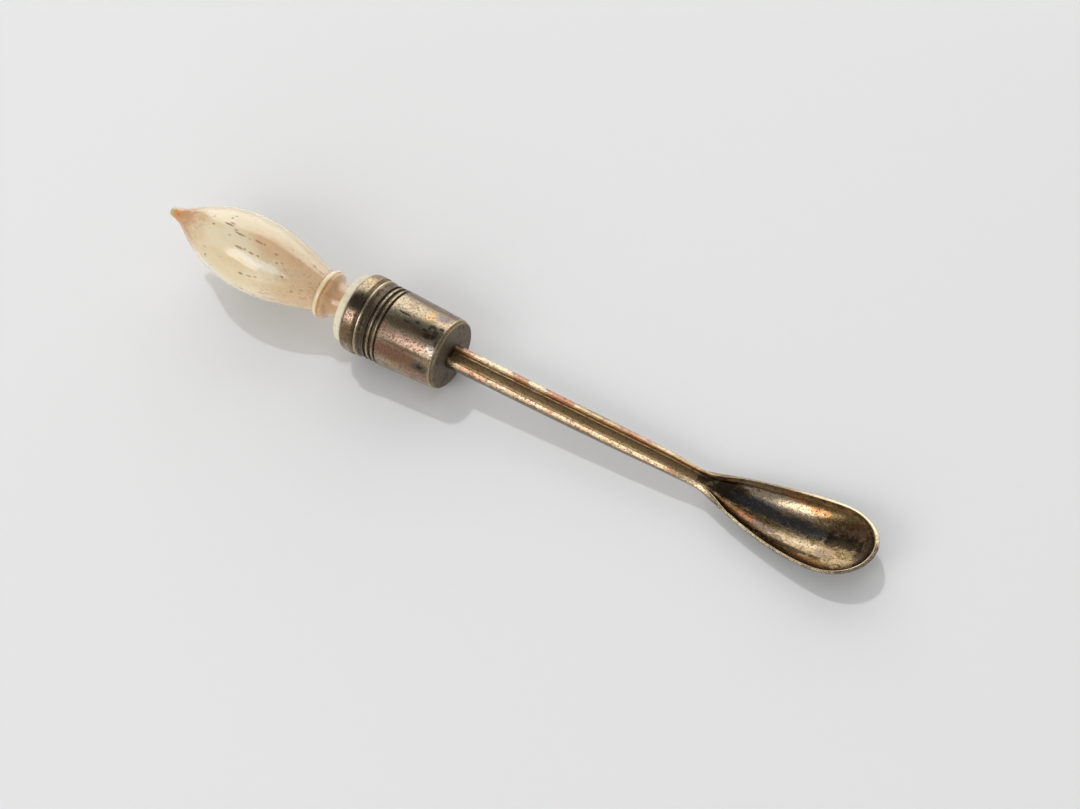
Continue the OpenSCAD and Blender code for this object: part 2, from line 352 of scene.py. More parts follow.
def tone(red, green, blue):
    # A colour as it is seen, made linear
    def linear(v):
        v /= 255
        return v / 12.92 if v <= 0.04045 else ((v + 0.055) / 1.055) ** 2.4
    return (linear(red), linear(green), linear(blue), 1)


def makePainter(tree, tones, first):
    # Lays one colour after another over the first, each where all its masks say. A colour
    # that isn't a tone's name is used as it is
    coats = [tones[first]]

    def lay(color, *masks):
        coats.append(mixColor(tree, times(tree, *masks), coats[-1], tones.get(color, color)))
        return coats[-1]
    return lay


def bumpOf(tree, height, strength, distance):
    return addNode(tree, "ShaderNodeBump", {
        "Height": height, "Strength": strength, "Distance": distance * mm}).outputs[0]


# Curves

def mix(a, b, t):
    return a + (b - a) * t


def eased(t):
    u = min(1, max(0, t))
    return u * u * (3 - 2 * u)


def larger(a, b, soft):
    return (a + b + sqrt((a - b) ** 2 + soft * soft)) / 2


def arcPoints(place, radius, r, first, last, steps=12):
    return [(place + r * sin(a), radius + r * cos(a))
            for a in (radians(first + (last - first) * i / steps) for i in range(steps + 1))]


def curvePoints(a, b, c, d, steps):
    points = []
    for i in range(steps + 1):
        t = i / steps
        points.append(tuple(a[k] * (1 - t) ** 3 + 3 * b[k] * t * (1 - t) ** 2
                            + 3 * c[k] * t * t * (1 - t) + d[k] * t ** 3 for k in (0, 1)))
    return points


# Turned pieces: an outline of place and radius swept round by Geometry Nodes

latheMerge = 0.0005  # in millimetres, as the outlines are
dentStretch = (1, 4, 4)  # dents are longer along the piece than round it


def makeLatheTree():
    tree, given, out = newGroup("lathe", "GeometryNodeTree", [
        ("Outline", "NodeSocketGeometry", None), ("Steps", "NodeSocketInt", 192),
        ("Unevenness", number, 0.0), ("Dent Size", number, 3.0), ("Seed", number, 0.0),
        ("Finish", "NodeSocketMaterial", None)], [("Piece", "NodeSocketGeometry")])
    outline, steps = given["Outline"], given["Steps"]
    size = addNode(tree, "GeometryNodeAttributeDomainSize", {0: outline}, component="MESH")
    wide = plus(tree, steps, 1.0)
    grid = addNode(tree, "GeometryNodeMeshGrid", {
        "Vertices X": size.outputs[0], "Vertices Y": wide}).outputs["Mesh"]
    index = addNode(tree, "GeometryNodeInputIndex").outputs[0]
    row = calc(tree, "FLOOR", calc(tree, "DIVIDE", plus(tree, index, 0.5), wide))
    column = minus(tree, index, times(tree, row, wide))
    sample = addNode(tree, "GeometryNodeSampleIndex", {"Geometry": outline, "Index": row},
                     data_type="FLOAT_VECTOR", domain="POINT")
    feed(tree, sample.inputs["Value"], addNode(tree, "GeometryNodeInputPosition").outputs[0])
    parts = split(tree, sample.outputs[0])
    along, plain = parts[0], parts[2]
    angle = times(tree, calc(tree, "DIVIDE", column, steps), 2 * pi)
    sine, cosine = (calc(tree, way, angle) for way in ("SINE", "COSINE"))
    shell = vectorCalc(tree, "MULTIPLY", joined(tree, along, sine, cosine), dentStretch)
    spread = scaled(tree, shell, calc(tree, "DIVIDE", 1.0, given["Dent Size"]))
    dent = addNode(tree, "ShaderNodeTexNoise", {
        "Vector": spread, "W": given["Seed"], "Scale": 1.0, "Detail": 2.0},
        noise_dimensions="4D").outputs[0]
    # Dents only go inwards, so the piece stays inside its solid
    cut = times(tree, dent, given["Unevenness"], calc(tree, "MINIMUM", plain, 1.0))
    radius = minus(tree, plain, cut)
    placed = joined(tree, along, times(tree, radius, sine), times(tree, radius, cosine))
    piece = addNode(tree, "GeometryNodeSetPosition", {"Geometry": grid, "Position": placed})
    for kind, inputs in (("MergeByDistance", {"Distance": latheMerge}), ("RealizeInstances", {}),
                         ("SetMaterial", {"Material": given["Finish"]})):
        inputs["Geometry"] = piece.outputs[0]
        piece = addNode(tree, "GeometryNode" + kind, inputs)
    fill(tree, out, {"Piece": piece.outputs[0]})
    return tree


latheTree = makeLatheTree()


def setInput(modifier, label, value):
    for item in modifier.node_group.interface.items_tree:
        if item.name == label and item.in_out == "INPUT":
            modifier[item.identifier] = value


mergeWithin = 0.0004 * mm
shortestEdge = 0.0002 * mm


def finishMesh(name, mesh, nodes, sharpAngle=38):
    # Merges doubles, turns the faces outwards, smooths, and gives the piece to the frame
    work = bmesh.new()
    work.from_mesh(mesh)
    bmesh.ops.remove_doubles(work, verts=work.verts, dist=mergeWithin)
    bmesh.ops.dissolve_degenerate(work, edges=work.edges, dist=shortestEdge)
    bmesh.ops.recalc_face_normals(work, faces=work.faces)
    if work.calc_volume(signed=True) < 0:
        bmesh.ops.reverse_faces(work, faces=work.faces)
    work.to_mesh(mesh)
    work.free()
    mesh.shade_smooth()
    mesh.set_sharp_from_angle(angle=radians(sharpAngle))
    piece = addObject(name, mesh)
    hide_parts(*nodes)
    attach(piece, "root")


def alongLine(point):
    return lineMatrix @ point


def turnPiece(name, outline, move, finish, p):
    # The outline is in millimetres; move carries each point of the turned form to its place
    outlineMesh = bpy.data.meshes.new(name + " outline")
    outlineMesh.from_pydata([(place, 0, radius) for place, radius in outline],
                            [(i, i + 1) for i in range(len(outline) - 1)], [])
    turned = addObject(name + " outline", outlineMesh)
    lathe = turned.modifiers.new("lathe", "NODES")
    lathe.node_group = latheTree
    for label, value in (("Steps", p["steps"]), ("Unevenness", p["unevenness"]),
                         ("Dent Size", p["dentSize"]), ("Seed", p["seed"]), ("Finish", finish)):
        setInput(lathe, label, value)
    evaluated = turned.evaluated_get(bpy.context.evaluated_depsgraph_get())
    mesh = bpy.data.meshes.new_from_object(evaluated)
    turned.modifiers.remove(lathe)
    bpy.data.objects.remove(turned)
    for vertex in mesh.vertices:
        vertex.co = move(vertex.co)
    mesh.name = name
    return mesh


# Finishes

boneTones = {
    "cream": tone(228, 217, 187),
    "honey": tone(220, 198, 157),
    "tan": tone(184, 142, 98),
    "warm": tone(208, 162, 114),
    "pink": tone(208, 178, 141),
    "tip": tone(190, 140, 88),
    "neck": tone(178, 136, 94),
    "nib": tone(172, 160, 124),
    "pore": tone(142, 94, 52),
    "ochre": tone(172, 124, 62),
    "wornWhiteAndHighlight": tone(236, 230, 214),
}

boneLook = {
    # Pores filled with rust-brown dirt: place along the finial in millimetres, turn in degrees,
    # half length and depth of colour
    "dashes": [
        (8.1, -5, 0.55, 1.0), (8.4, -1, 0.3, 0.8), (7.9, 8, 0.16, 0.7), (8.1, 15, 0.14, 0.6),
        (9.9, -12, 0.6, 0.75), (9.2, -9, 0.25, 0.5), (12.1, -9, 0.45, 0.75), (12.8, -8, 0.14, 0.6),
        (10.5, -30, 0.5, 0.6), (11.2, -28, 0.2, 0.5), (12.0, -29, 0.3, 0.6), (12.8, -28, 0.14, 0.6),
        (11.7, -65, 0.25, 0.8), (12.7, -63, 0.3, 0.55), (13.4, -60, 0.2, 0.5), (6.4, -15, 0.18, 0.9),
        (5.9, 0, 0.14, 0.5), (6.9, -71, 0.14, 0.95), (6.6, -58, 0.3, 0.4), (11.9, -97, 0.25, 0.7),
        (14.3, -88, 0.4, 0.5), (14.9, -84, 0.25, 0.4), (18.2, 15, 0.2, 0.9), (19.2, 13, 0.35, 0.7),
        (16.0, -41, 0.14, 0.9), (14.9, -24, 0.16, 0.7), (15.4, -20, 0.2, 0.5), (14.4, -12, 0.22, 0.5),
        (17.4, -62, 0.18, 0.6), (18.3, -50, 0.2, 0.5), (10.4, 150, 0.5, 0.8), (13.0, 128, 0.45, 0.7),
        (8.6, -160, 0.5, 0.8), (15.1, -140, 0.4, 0.6), (11.6, 96, 0.4, 0.6), (16.4, 100, 0.3, 0.7),
    ],
    "dashTurn": 1.5,
    # Patches by place along the finial and turn: the worn spot is also painted as a highlight, and the
    # far side is painted as shade
    "wornAndHighlightSpot": ((13.4, -38), (2.9, 7)),
    "edgeLine": ((13.2, 60), (6.8, 7)),
    "farSideShade": ((11.5, 30), (9.0, 30)),
    "warmMiddle": ((14.2, -6), (3.6, 14)),
    "stainFrom": 12.2, "stainTo": 18.5, "tipFrom": 6.6, "tipTo": 1.6, "nibTo": 0.55,
}


def makeTranslucentBone(matrix, f, look):
    material, tree, place, parts = newMaterial("turned bone, honey stained", matrix)
    along, unrolled = parts["Along"], parts["Unrolled"]
    clouds = noiseOf(tree, stretched(tree, place, (0.14, 0.4, 0.4)), 1.0, 4, 0.55, 0.5)
    mottle = noiseOf(tree, stretched(tree, place, (0.8, 1.6, 1.6)), 1.0, 5, 0.7, 0.5)
    grain = noiseOf(tree, stretched(tree, place, (2.2, 5.0, 5.0)), 1.0, 3, 0.65)
    lay = makePainter(tree, boneTones, "cream")
    lay("honey", remap(tree, clouds, 0.4, 0.66, 0.0, 0.75))
    # Stained towards the neck, with the speckle of the end grain
    towardsNeck = remap(tree, waver(tree, along, clouds, 9.0), look["stainFrom"], look["stainTo"])
    lay("pink", towardsNeck, 0.85)
    flangeAt = f["length"] - f["neckLength"] - f["flangeThickness"]
    rimAt, lineAt = flangeAt + f["rimAt"], flangeAt + f["stainLine"]
    onBody = remap(tree, along, rimAt - 0.2, rimAt - 0.6)
    coarse = plus(tree, mottle, grain)
    lay("tan", towardsNeck, onBody, remap(tree, coarse, 1.0, 1.16), 0.55)
    lay("pore", remap(tree, coarse, 1.14, 1.3), onBody, 0.28)
    onNeck = remap(tree, along, rimAt + 0.1, rimAt + 0.4)
    lay("neck", onNeck, remap(tree, mottle, 0.3, 0.7, 0.25, 0.75))
    lay("tip", remap(tree, waver(tree, along, mottle, 7.0), look["tipFrom"], look["tipTo"]))
    lay("nib", remap(tree, plus(tree, along, mottle), look["nibTo"] + 0.9, look["nibTo"] + 0.3))
    # The flange's rim is painted paler, with a darker ochre line behind it
    lay("cream", remap(tree, along, rimAt - 0.35, rimAt - 0.05),
        remap(tree, along, rimAt + 0.2, rimAt + 0.05), 0.5)
    lay("ochre", remap(tree, along, lineAt - 0.22, lineAt - 0.02),
        remap(tree, along, lineAt + 0.3, lineAt + 0.02), remap(tree, mottle, 0.35, 0.6, 0.6, 1.0))

    def spot(centre, reach, strength, name, broken=0.5, softness=0.4, texture=grain):
        mask = spotMask(tree, unrolled, centre, reach, texture, broken, softness)
        lay(name, mask, strength)
        return mask

    # Painted shade: the far side, which the far softbox lights, is painted a darker honey
    spot(*look["farSideShade"], 0.5, "honey")
    spot(*look["warmMiddle"], 0.6, "warm", 1.2, 0.5, mottle)
    spot(*look["edgeLine"], 0.8, "ochre", 0.9, 0.7, mottle)
    # Painted highlight: a worn patch is painted near white where the near softbox's reflection lies; its
    # mask also roughens and pits it as wear
    worn = spot(*look["wornAndHighlightSpot"], 0.75, "wornWhiteAndHighlight", 1.4, 0.25, mottle)
    dashes = 0.0
    for dashAlong, turn, reach, strength in look["dashes"]:
        mask = spot((dashAlong, turn), (reach, look["dashTurn"]), strength, "pore", 1.3, 0.35)
        dashes = calc(tree, "MAXIMUM", dashes, mask)
    pores = useGroup(tree, "bone pores", {
        "Place": place, "Length": 1.1, "Spacing": 0.36, "Share": 0.16})
    lay("honey", remap(tree, pores["Fibre"], 0.5, 0.72), 0.25)
    base = lay("pore", pores["Pores"], 0.5)
    roughness = plus(tree, remap(tree, mottle, 0.3, 0.7, 0.15, 0.24), times(tree, worn, 0.08))
    pitted = times(tree, worn, remap(tree, noiseOf(tree, place, 3.4, 4, 0.7), 0.5, 0.64))
    rings = turnedLines(tree, unrolled, 0.16, 0.03)
    height = plus(tree, times(tree, rings, 0.15), times(tree, clouds, 0.8))
    height = minus(tree, height, times(tree, dashes, 1.2), times(tree, pores["Pores"], 0.6),
                   times(tree, pitted, 0.9))
    return setShader(material, {
        "Base Color": base, "Roughness": roughness, "Normal": bumpOf(tree, height, 0.5, 0.05),
        "Subsurface Weight": 0.8, "Subsurface Radius": (1.0, 0.84, 0.6),
        "Subsurface Scale": 3.0 * mm, "Coat Weight": 0.8, "Coat Roughness": 0.07})


plugTones = {
    "bone": tone(228, 219, 192),
    "grey": tone(206, 195, 164),
    "pore": tone(150, 126, 86),
    "dirt": tone(92, 74, 52),
}


def makePaleBone(matrix):
    material, tree, place, parts = newMaterial("plain bone plug", matrix)
    clouds = noiseOf(tree, place, 0.8, 4, 0.6, 0.4)
    pores = useGroup(tree, "bone pores", {
        "Place": place, "Length": 0.9, "Spacing": 0.3, "Share": 0.25})
    lay = makePainter(tree, plugTones, "bone")
    lay("grey", remap(tree, clouds, 0.42, 0.66))
    lay("pore", pores["Pores"], 0.7)
    # Dirt gathers where the plug goes into the collar's mouth, at zero along the line
    uneven = plus(tree, parts["Along"], times(tree, clouds, 0.25))
    base = lay("dirt", remap(tree, uneven, -0.22, 0.08), 0.8)
    rings = turnedLines(tree, parts["Unrolled"], 0.1, 0.02)
    height = minus(tree, times(tree, rings, 0.5), pores["Pores"])
    return setShader(material, {
        "Base Color": base, "Roughness": remap(tree, clouds, 0.3, 0.7, 0.34, 0.5),
        "Normal": bumpOf(tree, height, 0.5, 0.05), "Subsurface Weight": 0.25,
        "Subsurface Radius": (1.0, 0.7, 0.4), "Subsurface Scale": 0.8 * mm})


collarTones = {
    "metal": tone(172, 156, 132),
    "gold": tone(186, 156, 116),
    "olive": tone(122, 108, 82),
    "brown": tone(98, 70, 50),
    "red": tone(146, 100, 78),
    "purple": tone(92, 72, 54),
    "green": tone(84, 88, 74),
    "black": tone(28, 26, 20),
    "pink": tone(162, 132, 116),
    "lavender": tone(118, 108, 108),
    "silverHighlight": tone(212, 202, 192),
    "bright": tone(206, 186, 154),
    "grime": tone(74, 62, 46),
}


def makeTarnishedMetal(matrix, look, c):
    material, tree, place, parts = newMaterial("worn gilt metal, tarnished", matrix)
    along, unrolled, radius = parts["Along"], parts["Unrolled"], parts["Radius"]
    stains = useGroup(tree, "tarnish", {
        "Place": place, "Cloud Scale": 0.42, "Speck Scale": look["specks"], "Cover": 0.5})
    fine, specks = stains["Fine"], stains["Specks"]
    second = noiseOf(tree, place, 0.9, 5, 0.65, 1.0)
    lay = makePainter(tree, collarTones, "metal")
    lay("gold", stains["Clouds"])
    lay("olive", remap(tree, second, 0.5, 0.62), 0.55)

    def spot(centre, reach, name, strength, broken=0.9, softness=0.45, grain=second):
        mask = spotMask(tree, unrolled, centre, reach, grain, broken, softness)
        mask = times(tree, mask, strength)
        lay(name, mask)
        return mask

    # The listed patches: stains, and one painted highlight
    for name, centre, reach, strength in look["stains"]:
        spot(centre, reach, name, strength)
    blots = 0.0
    for centre, reach in look["blots"]:
        blots = calc(tree, "MAXIMUM", blots, spot(centre, reach, "black", 0.92, 2.2, 0.25, fine))
    spot(*look["blotCentre"], "olive", 0.7, 1.2, 0.3, fine)
    lay("brown", specks, 0.7)
    # Dirt lies in the grooves, below the tops of the rings
    ringTop, end = look["ringTop"], c["length"]
    ringed = remap(tree, along, look["ringsEnd"] + 0.1, look["ringsEnd"] - 0.1)
    low = waver(tree, radius, fine, 0.08)
    dirt = times(tree, remap(tree, low, ringTop, ringTop - 0.06), ringed)
    grime = mixColor(tree, remap(tree, second, 0.4, 0.6), collarTones["grime"], collarTones["black"])
    lay(grime, dirt, remap(tree, fine, 0.3, 0.6, 0.6, 0.95))
    # The end edge and the tops of the rings are painted bright: rubbed wear, and painted highlight
    lay("bright", remap(tree, along, end - 0.3, end - 0.12), remap(tree, fine, 0.35, 0.6, 0.1, 0.6))
    lay("bright", remap(tree, low, ringTop, ringTop + 0.06), ringed,
        remap(tree, along, look["ringsStart"], look["ringsStart"] + 0.1), 0.6)
    base = lay("brown", remap(tree, along, end - 0.12, end - 0.02),
               remap(tree, radius, c["endRadius"] - 0.14, c["endRadius"] - 0.24), 0.8)
    dull = calc(tree, "MAXIMUM", times(tree, dirt, 0.12), times(tree, blots, 0.2))
    roughness = plus(tree, remap(tree, second, 0.35, 0.65, 0.2, 0.32), dull,
                     times(tree, specks, 0.12))
    marks = useGroup(tree, "scratches", {"Place": place, "Scale": 1.6, "Amount": 1.0})
    rings = turnedLines(tree, unrolled, 0.08, 0.015)
    height = plus(tree, times(tree, rings, 0.25), times(tree, fine, 0.5))
    height = minus(tree, height, times(tree, marks["Scratches"], 0.4),
                   plus(tree, marks["Pits"], times(tree, specks, 0.35)))
    return setShader(material, {
        "Base Color": base, "Roughness": roughness,
        "Metallic": minus(tree, 1.0, times(tree, dull, 1.4)),
        "Normal": bumpOf(tree, height, 0.5, 0.03)})


plateTones = {
    "grey": tone(128, 115, 98),
    "brown": tone(96, 80, 64),
    "dark": tone(44, 37, 29),
    "edge": tone(150, 132, 104),
}


def makeDullMetal(matrix, plateEdge):
    material, tree, place, parts = newMaterial("dull soldered plate", matrix)
    stains = useGroup(tree, "tarnish", {
        "Place": place, "Cloud Scale": 1.1, "Speck Scale": 5.0, "Cover": 0.5})
    fine, radius = stains["Fine"], parts["Radius"]
    lay = makePainter(tree, plateTones, "grey")
    lay("brown", stains["Clouds"])
    # Painted shade: darker towards the middle, round the stem's root
    lay("dark", remap(tree, plus(tree, radius, fine), 2.4, 1.2), 0.8)
    lay("dark", stains["Specks"], 0.5)
    base = lay("edge", remap(tree, radius, plateEdge - 0.1, plateEdge - 0.02), 0.4)
    height = minus(tree, fine, stains["Specks"])
    return setShader(material, {
        "Base Color": base, "Roughness": remap(tree, fine, 0.3, 0.7, 0.42, 0.6),
        "Metallic": 0.85, "Normal": bumpOf(tree, height, 0.6, 0.04)})


giltTones = {
    "gilt": tone(172, 150, 120),
    "cream": tone(196, 178, 150),
    "copper": tone(156, 108, 86),
    "brown": tone(166, 136, 94),
    "side": tone(120, 102, 84),
    "umber": tone(108, 78, 44),
    "lip": tone(142, 106, 66),
    "ash": tone(112, 98, 88),
    "steel": tone(150, 148, 146),
    "olive": tone(116, 96, 58),
    "dark": tone(50, 42, 32),
    "blue": tone(88, 87, 86),
    "orange": tone(196, 138, 92),
    "red": tone(98, 60, 42),
    "rim": tone(206, 188, 156),
}


def makeWornGilt(matrix, s, look):
    material, tree, place, parts = newMaterial("worn gilt of the spoon", matrix)
    along, side = parts["Along"], parts["Side"]
    stains = useGroup(tree, "tarnish", {
        "Place": place, "Cloud Scale": 0.5, "Speck Scale": 4.0, "Cover": 0.5})
    fine, specks = stains["Fine"], stains["Specks"]
    wide = noiseOf(tree, stretched(tree, place, (0.4, 1, 1)), 0.9, 4, 0.6, 0.6)
    patches = noiseOf(tree, stretched(tree, place, (0.7, 1.4, 1.4)), 1.0, 3, 0.6)
    streaks = noiseOf(tree, stretched(tree, place, (0.5, 5, 5)), 1.0, 3, 0.6)
    ragged = noiseOf(tree, stretched(tree, place, (0.8, 1.3, 1.3)), 1.3, 5, 0.7, 0.4)
    bowl = remap(tree, along, s["bowlAt"] - 1.5, s["bowlAt"] + 3)
    stem = minus(tree, 1.0, bowl)
    lay = makePainter(tree, giltTones, "gilt")
    lay("cream", stains["Clouds"])
    lay("copper", remap(tree, patches, 0.56, 0.68), 0.75)
    # The channel between the rails and the bowl's hollow are darker than the tops
    inside = calc(tree, "MAXIMUM", minus(tree, side, 0.14), times(tree, side, -1.0))
    channel = times(tree, remap(tree, inside, 0.64, 0.54), stem)
    lay("brown", channel, 0.9)
    outside = times(tree, remap(tree, calc(tree, "ABSOLUTE", side), 0.98, 1.1), stem)
    lay("side", outside, remap(tree, streaks, 0.35, 0.6, 0.5, 1.0))
    # Painted shade: the stem's root, where it meets the plate, is painted umber
    lay("umber", remap(tree, plus(tree, along, fine), s["faceAt"] + 0.8, s["faceAt"] + 0.5), 0.6)
    lay("olive", bowl, remap(tree, wide, 0.4, 0.6, 0.35, 0.85))
    flat = joined(tree, along, side)
    # The listed patches: stains, and in the bowl painted highlights and painted reflections
    for name, centre, reach, strength in look["stains"]:
        lay(name, spotMask(tree, flat, centre, reach, ragged, 3.0, 0.25), strength)
    lay("dark", specks, 0.55)
    # Attributes of the mesh say where its rim, its under side and the lip inside the rim are
    rim, under, lip = (addNode(tree, "ShaderNodeAttribute", attribute_name=name).outputs["Fac"]
                       for name in ("rim", "under", "lip"))
    lipMask = times(tree, lip, bowl, remap(tree, ragged, 0.4, 0.6, 0.3, 0.8))
    lay("lip", lipMask)
    # The far rim is only worn bright from the middle of the bowl to its tip
    farWorn = remap(tree, along, s["bowlAt"] + 6, s["bowlAt"] + 13, 0.12, 1.0)
    worn = calc(tree, "MAXIMUM", remap(tree, side, 0.4, -0.4), farWorn)
    lay("dark", rim, bowl, minus(tree, 1.0, worn), 0.8)
    lay("rim", rim, worn, remap(tree, ragged, 0.3, 0.55, 0.55, 1.0), bowl)
    # Painted shade: the under side is painted dark, and the far rail's outer edge, where under is 2,
    # darker still
    base = lay("dark", under, plus(tree, 0.35, times(tree, bowl, 0.35)))
    roughness = plus(tree, remap(tree, ragged, 0.35, 0.65, 0.12, 0.22), times(tree, specks, 0.15),
                     times(tree, channel, 0.16))
    marks = useGroup(tree, "scratches", {"Place": place, "Scale": 1.8, "Amount": 1.0})
    height = minus(tree, times(tree, fine, 0.6), marks["Pits"], times(tree, marks["Scratches"], 0.4))
    # Just inside the rim the dirt takes the metal's shine away
    return setShader(material, {
        "Base Color": base, "Roughness": roughness,
        "Metallic": minus(tree, 1.0, times(tree, lipMask, 0.7)),
        "Normal": bumpOf(tree, plus(tree, height, ragged), 0.4, 0.04)})


# Finial

finial = {
    "length": 23.4, "radius": 4.15, "plugProud": 1.0,
    "nibRadius": 0.78, "nibEndRadius": 0.55, "nibLength": 1.0, "nibRound": 0.2,
    "shoulderRadius": 2.33, "flangeRadius": 2.76, "flangeThickness": 1.25,
    "rimAt": 0.5, "stainLine": 0.78, "lineDepth": 0.04, "trumpetTo": 1.5, "slimFrom": 2.15,
    "neckRadius": 1.93, "neckLength": 2.4, "footRadius": 2.25, "footTurn": 0.7,
    "tenonRadius": 1.3, "tenonLength": 2.8,
    # Shares of the body's length and swell that shape its two curves
    "wideShare": 0.53, "frontShare": 0.36, "backShare": 0.4, "slimShare": 0.65, "slimSwell": 0.42,
    "lean": 4.1, "leanSide": 9,
    "steps": 192, "unevenness": 0.05, "dentSize": 5.0, "seed": 3.0,
}


def finialOutline(f):
    nib, nibRadius, endRadius = f["nibLength"], f["nibRadius"], f["nibEndRadius"]
    radius, shoulder, flange = f["radius"], f["shoulderRadius"], f["flangeRadius"]
    neck, foot, tenon = f["neckRadius"], f["length"], f["tenonRadius"]
    flangeAt = foot - f["neckLength"] - f["flangeThickness"]
    wideAt = nib + f["wideShare"] * (flangeAt - nib)
    front = nib + f["frontShare"] * (wideAt - nib)
    back = wideAt + f["backShare"] * (flangeAt - wideAt)
    slim = wideAt + f["slimShare"] * (flangeAt - wideAt)
    slimRadius = shoulder + f["slimSwell"] * (radius - shoulder)
    points = [(0, 0)]
    points += arcPoints(f["nibRound"], endRadius - f["nibRound"], f["nibRound"], -90, 0, 8)
    points += curvePoints((f["nibRound"] + 0.05, endRadius + 0.01), (0.5, endRadius + 0.12),
                          (nib - 0.2, nibRadius - 0.1), (nib, nibRadius), 8)
    points += curvePoints((nib, nibRadius), (nib + 1.25, nibRadius + 0.12),
                          (front, radius), (wideAt, radius), 60)[1:]
    points += curvePoints((wideAt, radius), (back, radius), (slim, slimRadius),
                          (flangeAt - 0.03, shoulder + 0.02), 50)[1:]
    # A rounded rim, a scored line behind it, and a trumpet curve down to the slim neck
    rimAt, lineAt = flangeAt + f["rimAt"], flangeAt + f["stainLine"]
    bellAt, bell = flangeAt + f["trumpetTo"], neck + 0.19
    slimAt = flangeAt + f["slimFrom"]
    points += curvePoints((flangeAt, shoulder), (flangeAt + 0.05, flange - 0.2),
                          (rimAt - 0.28, flange), (rimAt, flange), 14)
    points += [(rimAt + 0.12, flange - 0.01), (lineAt - 0.06, flange - 0.04),
               (lineAt, flange - 0.04 - f["lineDepth"])]
    points += curvePoints((lineAt + 0.08, flange - 0.07), (lineAt + 0.4, flange - 0.1),
                          (bellAt - 0.25, bell + 0.23), (bellAt, bell), 16)
    points += curvePoints((bellAt, bell), (bellAt + 0.2, neck + 0.03),
                          (slimAt - 0.3, neck), (slimAt, neck), 12)[1:]
    points += curvePoints((slimAt, neck), (slimAt + 0.7, neck), (foot - 0.35, neck + 0.05),
                          (foot, f["footRadius"]), 18)[1:]
    end = foot + f["tenonLength"]
    return points + [(foot, tenon), (end, tenon), (end, 0)]


def makeFinial(f):
    tenon = lineMatrix @ Matrix.Translation((-f["plugProud"] - f["length"], 0, 0))
    leaning = (lineMatrix @ Matrix.Translation((-f["plugProud"], 0, 0))
               @ Matrix.Rotation(radians(-f["leanSide"]), 4, "X")
               @ Matrix.Rotation(radians(f["lean"]), 4, "Y")
               @ Matrix.Translation((-f["length"], 0, 0)))

    def move(point):
        # The foot turns back to the plug's line, so that it stands flat on the plug
        share = eased((point.x - f["length"] + f["footTurn"]) / f["footTurn"])
        return (leaning @ point).lerp(tenon @ point, share)

    finish = makeTranslucentBone(leaning, f, boneLook)
    mesh = turnPiece("finial", finialOutline(f), move, finish, f)
    finishMesh("turned_finial", mesh, ["finial"], 50)


makeFinial(finial)
print("finial turned")


# Plug

plug = {
    "proud": 1.0, "depth": 3.4, "radius": 3.78, "edge": 0.15, "bore": 1.32, "boreDepth": 2.82,
    "steps": 192, "unevenness": 0.015, "dentSize": 2.0, "seed": 5.0,
}


def makePlug(p):
    floorAt = p["boreDepth"] - p["proud"]
    outline = [(p["depth"], 0), (p["depth"], p["radius"])]
    outline += arcPoints(p["edge"] - p["proud"], p["radius"] - p["edge"], p["edge"], 0, -90, 8)
    outline += [(-p["proud"], p["bore"]), (floorAt, p["bore"]), (floorAt, 0)]
    mesh = turnPiece("plug", outline, alongLine, makePaleBone(lineMatrix), p)
    finishMesh("bone_plug", mesh, ["plug"])


makePlug(plug)
print("plug turned")


# Collar

collar = {
    "length": 11.1, "bandRadius": 4.36, "mouthRound": 0.4, "bandWidth": 1.0,
    "grooveDepth": 0.22, "grooveWidth": 0.45, "ridgeWidth": 0.22, "ridgeRadius": 4.31,
    "coveWidth": 0.95, "coveDepth": 0.16, "beadRadius": 0.21, "beadGap": 0.22, "beadCount": 2,
    "barrelRadius": 4.2, "endRadius": 3.92, "endRound": 0.18, "boreRadius": 3.8,
    "boreEndRadius": 3.54, "edgeRound": 0.05, "coveSteps": 24,
    "steps": 256, "unevenness": 0.03, "dentSize": 2.2, "seed": 8.0,
}


def collarOutline(c):
    grooveAt = c["mouthRound"] + c["bandWidth"]
    ridgeAt = grooveAt + c["grooveWidth"]
    coveAt = ridgeAt + c["ridgeWidth"]
    beadsAt = coveAt + c["coveWidth"]
    pitch = 2 * c["beadRadius"] + c["beadGap"]
    barrelAt = beadsAt + c["beadCount"] * pitch + c["beadGap"]
    band, barrel, bore = c["bandRadius"], c["barrelRadius"], c["boreRadius"]
    edge, ridgeTop = c["edgeRound"], c["ridgeRadius"] - c["edgeRound"]
    grooveFloor, beadBase = band - c["grooveDepth"], barrel - c["beadRadius"]
    points = [(0, bore)]
    points += arcPoints(c["mouthRound"], band - c["mouthRound"], c["mouthRound"], -90, 0)
    points += arcPoints(grooveAt - edge, band - edge, edge, 0, 60, 4)
    points += [(grooveAt + 0.09, grooveFloor + 0.03), (grooveAt + 0.14, grooveFloor)]
    points += [(ridgeAt - 0.14, grooveFloor), (ridgeAt - 0.09, grooveFloor + 0.03)]
    points += arcPoints(ridgeAt + edge, ridgeTop, edge, -60, 0, 4)
    points += arcPoints(coveAt - edge, ridgeTop, edge, 0, 60, 4)
    for i in range(1, c["coveSteps"]):
        dip = c["coveDepth"] * sin(pi * i / c["coveSteps"])
        points.append((coveAt + c["coveWidth"] * i / c["coveSteps"], barrel - dip))
    points += [(beadsAt - 0.02, barrel), (beadsAt, barrel - 0.03), (beadsAt, beadBase)]
    for k in range(c["beadCount"]):
        centre = beadsAt + c["beadGap"] + c["beadRadius"] + k * pitch
        points += arcPoints(centre, beadBase, c["beadRadius"], -90, 90, 16)
    points += [(barrelAt - c["beadGap"] / 2, beadBase), (barrelAt - 0.02, barrel - 0.02)]
    points += [(barrelAt + 0.03, barrel - 0.002)]
    points += arcPoints(c["length"] - c["endRound"], c["endRadius"] - c["endRound"], c["endRound"], 0, 90)
    return points + [(c["length"], c["boreEndRadius"]), (barrelAt, bore), (0, bore)]


